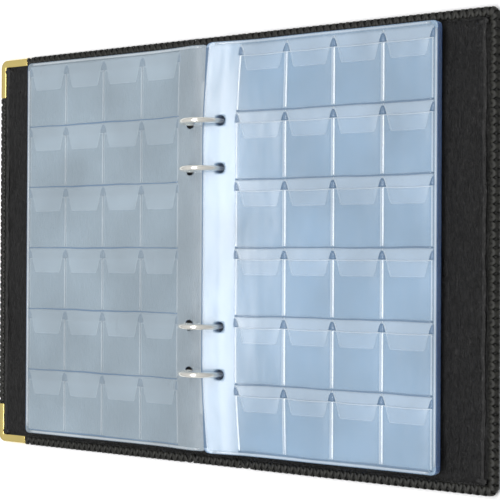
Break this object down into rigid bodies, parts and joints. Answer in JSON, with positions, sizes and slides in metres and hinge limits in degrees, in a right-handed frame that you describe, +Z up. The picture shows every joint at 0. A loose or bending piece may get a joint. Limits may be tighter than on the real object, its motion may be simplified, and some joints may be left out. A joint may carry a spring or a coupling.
{
  "type": "ring bound coin album",
  "caption": "Laced leather ring binder lying open, with clear leaves of flapped coin pockets on round metal rings that open.",
  "frame": {"origin": "on the table, under the middle of the spine, with the album lying open and flat", "axes": "+X across the open album, from the front cover to the back cover; +Y along the spine, towards the top of the leaves; +Z up from the table"},
  "size_m": [0.3748, 0.2564, 0.0314],
  "materials": {
    "cover_leather": "fine grained, padded, satin",
    "lacing": "braided edge lacing, satin",
    "padding": "soft foam sheet",
    "board": "grey board",
    "corner_metal": "polished pale gold",
    "ring_metal": "polished nickel",
    "clear_film": "clear bluish soft film",
    "flap_film": "clear bluish film, doubled"
  },
  "bodies": {
    "spine": {"spine_outer_skin": "cover_leather", "spine_board": "board", "spine_lining": "cover_leather", "spine_lacing": "lacing", "front_fold": "cover_leather", "back_fold": "cover_leather", "mechanism_shell": "ring_metal", "mechanism_rivets": "ring_metal"},
    "front_cover": {"front_outer_skin": "cover_leather", "front_foam": "padding", "front_board": "board", "front_lining": "cover_leather", "front_lacing": "lacing", "front_corner_top": "corner_metal", "front_corner_bottom": "corner_metal"},
    "back_cover": {"back_outer_skin": "cover_leather", "back_foam": "padding", "back_board": "board", "back_lining": "cover_leather", "back_lacing": "lacing"},
    "left_ring": {"left_ring_plate": "ring_metal", "left_ring_bottom": "ring_metal", "left_ring_lower": "ring_metal", "left_ring_upper": "ring_metal", "left_ring_top": "ring_metal"},
    "right_ring": {"right_ring_plate": "ring_metal", "right_ring_bottom": "ring_metal", "right_ring_lower": "ring_metal", "right_ring_upper": "ring_metal", "right_ring_top": "ring_metal"},
    "leaf_01": {"leaf_01_backing": "clear_film", "leaf_01_pockets": "clear_film", "leaf_01_flaps": "flap_film"},
    "leaf_02": {"leaf_02_backing": "clear_film", "leaf_02_pockets": "clear_film", "leaf_02_flaps": "flap_film"},
    "leaf_03": {"leaf_03_backing": "clear_film", "leaf_03_pockets": "clear_film", "leaf_03_flaps": "flap_film"},
    "leaf_04": {"leaf_04_backing": "clear_film", "leaf_04_pockets": "clear_film", "leaf_04_flaps": "flap_film"},
    "leaf_05": {"leaf_05_backing": "clear_film", "leaf_05_pockets": "clear_film", "leaf_05_flaps": "flap_film"},
    "leaf_06": {"leaf_06_backing": "clear_film", "leaf_06_pockets": "clear_film", "leaf_06_flaps": "flap_film"},
    "leaf_07": {"leaf_07_backing": "clear_film", "leaf_07_pockets": "clear_film", "leaf_07_flaps": "flap_film"},
    "leaf_08": {"leaf_08_backing": "clear_film", "leaf_08_pockets": "clear_film", "leaf_08_flaps": "flap_film"},
    "leaf_09": {"leaf_09_backing": "clear_film", "leaf_09_pockets": "clear_film", "leaf_09_flaps": "flap_film"},
    "leaf_10": {"leaf_10_backing": "clear_film", "leaf_10_pockets": "clear_film", "leaf_10_flaps": "flap_film"}
  },
  "joints": [
    {"name": "front_cover_turn", "type": "hinge", "parent": "spine", "child": "front_cover", "pos_m": [-0.0169, 0, 0.00175], "axis": [0, 1, 0], "range_deg": [0, 90]},
    {"name": "back_cover_turn", "type": "hinge", "parent": "spine", "child": "back_cover", "pos_m": [0.0169, 0, 0.00175], "axis": [0, -1, 0], "range_deg": [0, 90]},
    {"name": "left_ring_open", "type": "hinge", "parent": "spine", "child": "left_ring", "pos_m": [-0.0098, 0.0018, 0.0049], "axis": [0, 1, 0], "range_deg": [-9, 0]},
    {"name": "right_ring_open", "type": "hinge", "parent": "spine", "child": "right_ring", "pos_m": [0.0098, 0.0018, 0.0049], "axis": [0, 1, 0], "range_deg": [0, 9]},
    {"name": "leaf_01_turn", "type": "hinge", "parent": "spine", "child": "leaf_01", "pos_m": [0, 0.0018, 0.0168], "axis": [0, 1, 0], "range_deg": [0, 90.4]},
    {"name": "leaf_10_turn", "type": "hinge", "parent": "spine", "child": "leaf_10", "pos_m": [0, 0.0018, 0.0168], "axis": [0, -1, 0], "range_deg": [0, 93.2]},
    {"name": "leaf_09_turn", "type": "hinge", "parent": "leaf_10", "child": "leaf_09", "pos_m": [0, 0.0018, 0.0168], "axis": [0, 1, 0], "range_deg": [-180, 0]},
    {"name": "leaf_08_turn", "type": "hinge", "parent": "leaf_09", "child": "leaf_08", "pos_m": [0, 0.0018, 0.0168], "axis": [0, 1, 0], "range_deg": [-180, 0]},
    {"name": "leaf_07_turn", "type": "hinge", "parent": "leaf_08", "child": "leaf_07", "pos_m": [0, 0.0018, 0.0168], "axis": [0, 1, 0], "range_deg": [-180, 0]},
    {"name": "leaf_06_turn", "type": "hinge", "parent": "leaf_07", "child": "leaf_06", "pos_m": [0, 0.0018, 0.0168], "axis": [0, 1, 0], "range_deg": [-180, 0]},
    {"name": "leaf_05_turn", "type": "hinge", "parent": "leaf_06", "child": "leaf_05", "pos_m": [0, 0.0018, 0.0168], "axis": [0, 1, 0], "range_deg": [-180, 0]},
    {"name": "leaf_04_turn", "type": "hinge", "parent": "leaf_05", "child": "leaf_04", "pos_m": [0, 0.0018, 0.0168], "axis": [0, 1, 0], "range_deg": [-180, 0]},
    {"name": "leaf_03_turn", "type": "hinge", "parent": "leaf_04", "child": "leaf_03", "pos_m": [0, 0.0018, 0.0168], "axis": [0, 1, 0], "range_deg": [-180, 0]},
    {"name": "leaf_02_turn", "type": "hinge", "parent": "leaf_03", "child": "leaf_02", "pos_m": [0, 0.0018, 0.0168], "axis": [0, 1, 0], "range_deg": [-180, 0]}
  ],
  "couplings": [
    {"joint": "right_ring_open", "follows": "left_ring_open", "ratio": -1},
    {"joint": "leaf_01_turn", "follows": "front_cover_turn", "ratio": 1.0044},
    {"joint": "leaf_10_turn", "follows": "back_cover_turn", "ratio": 1.0355}
  ]
}
